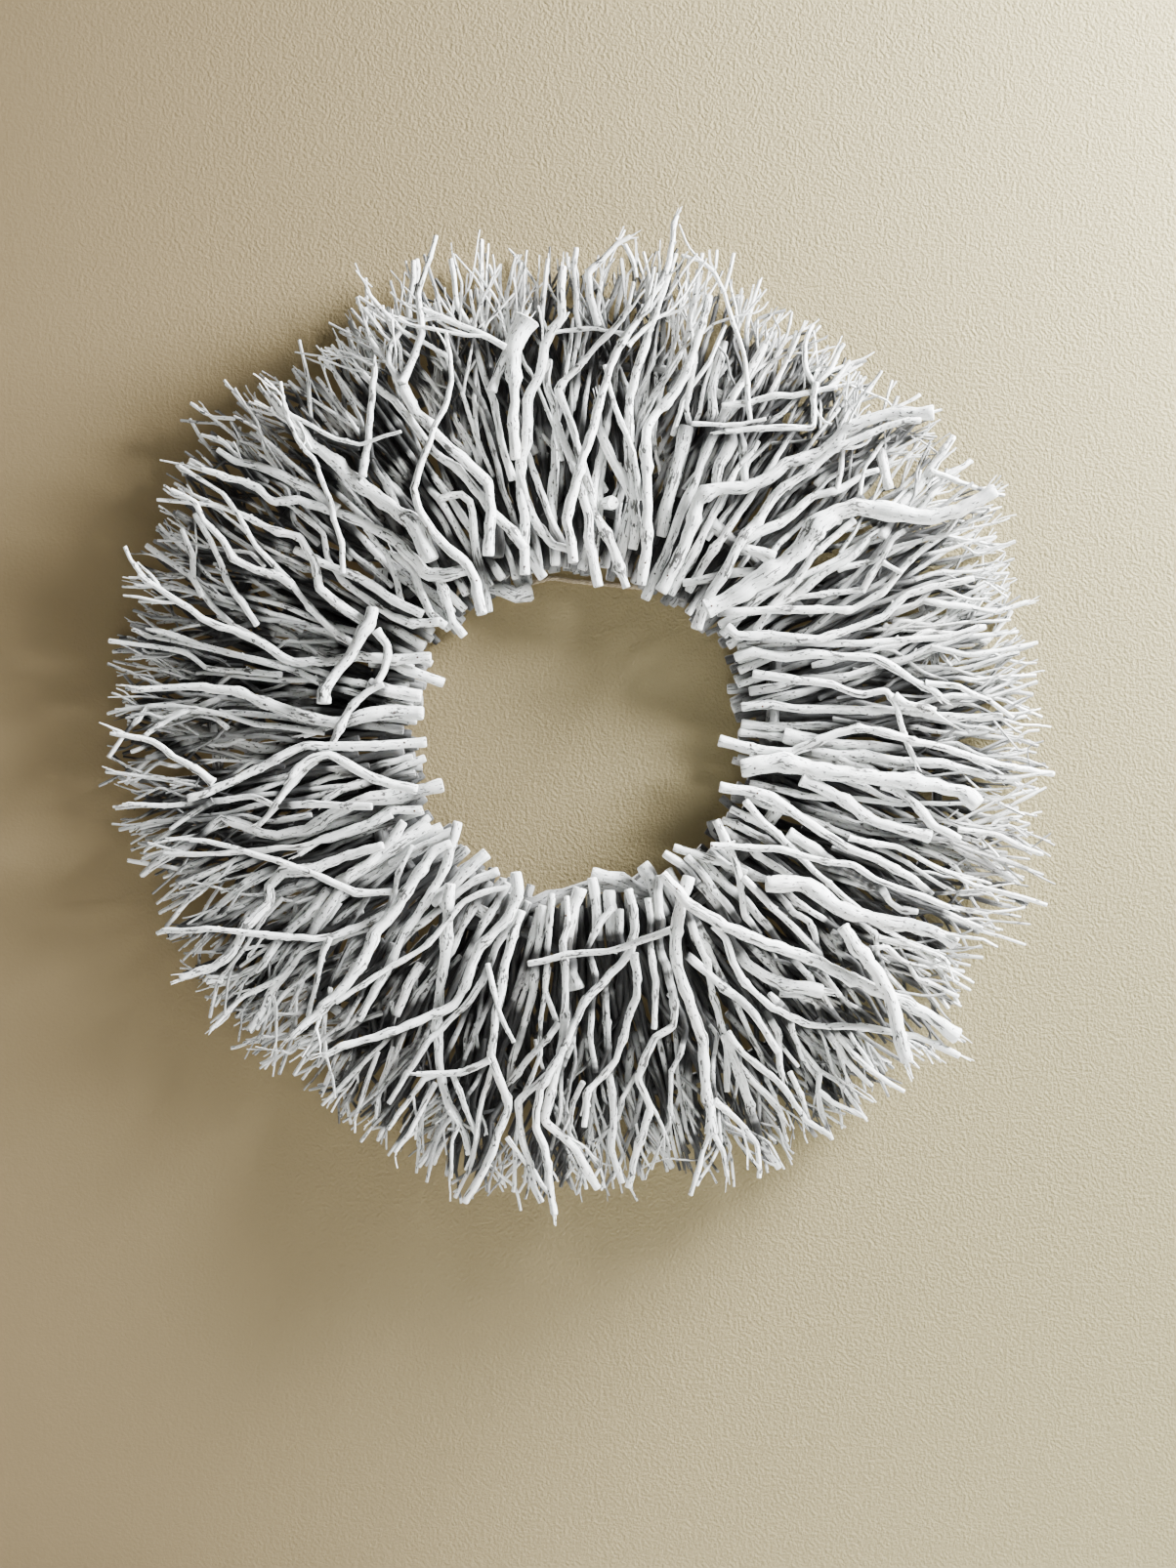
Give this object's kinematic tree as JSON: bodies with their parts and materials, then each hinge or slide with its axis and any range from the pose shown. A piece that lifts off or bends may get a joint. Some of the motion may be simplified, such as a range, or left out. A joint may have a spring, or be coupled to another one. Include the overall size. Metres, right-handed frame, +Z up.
{
  "type": "branch wreath",
  "caption": "Round wall wreath of whitewashed driftwood branches radiating from an open centre, nailed over two hidden hoops, with a rope to hang it by.",
  "frame": {"origin": "point on the wall where the hanging rope goes over its hook", "axes": "+Z up, +Y into the wall that the wreath hangs on, so the front faces -Y and +X is to the right seen from the front"},
  "size_m": [0.9878, 0.1335, 1.0103],
  "materials": {
    "whitewash": "thin cool-white wash, matt, wood grain showing grey",
    "grey_wash": "thinner, greyer wash on the sticks that lie deep",
    "jute": "twisted natural jute, fuzzy and matt"
  },
  "bodies": {
    "root": {"branch_bottom_bent": "whitewash", "branch_bottom_left_long": "whitewash", "branch_bottom_tall": "whitewash", "branch_left_bent": "whitewash", "branch_left_crossing": "whitewash", "branch_left_forked": "whitewash", "branch_left_knotted": "whitewash", "branch_left_level": "whitewash", "branch_left_low": "whitewash", "branch_left_thick": "whitewash", "branch_lower_left_club": "whitewash", "branch_lower_right_broken": "whitewash", "branch_lower_right_cut": "whitewash", "branch_lower_right_long": "whitewash", "branch_lower_right_thick": "whitewash", "branch_right_crooked": "whitewash", "branch_right_long": "whitewash", "branch_right_lower": "whitewash", "branch_right_slim": "whitewash", "branch_right_thick": "whitewash", "branch_top": "whitewash", "branch_top_club": "whitewash", "branch_top_forked": "whitewash", "branch_top_left": "whitewash", "branch_top_right_slim": "whitewash", "branch_upper_left_long": "whitewash", "branch_upper_right": "whitewash", "front_bunch_01": "whitewash", "front_bunch_02": "whitewash", "front_bunch_03": "whitewash", "front_bunch_04": "whitewash", "front_bunch_05": "whitewash", "front_bunch_06": "whitewash", "front_bunch_07": "whitewash", "front_bunch_08": "whitewash", "front_bunch_09": "whitewash", "front_bunch_10": "whitewash", "front_bunch_11": "whitewash", "front_bunch_12": "whitewash", "hanging_rope": "jute", "hoop_bunch_01": "grey_wash", "hoop_bunch_02": "grey_wash", "hoop_bunch_03": "grey_wash", "hoop_bunch_04": "grey_wash", "hoop_bunch_05": "grey_wash", "hoop_bunch_06": "grey_wash", "hoop_bunch_07": "grey_wash", "hoop_bunch_08": "grey_wash", "hoop_bunch_09": "grey_wash", "hoop_bunch_10": "grey_wash", "hoop_bunch_11": "grey_wash", "outer_hoop_01": "grey_wash", "outer_hoop_02": "grey_wash", "outer_hoop_03": "grey_wash", "outer_hoop_04": "grey_wash", "outer_hoop_05": "grey_wash", "outer_hoop_06": "grey_wash", "outer_hoop_07": "grey_wash", "outer_hoop_08": "grey_wash"}
  },
  "joints": []
}
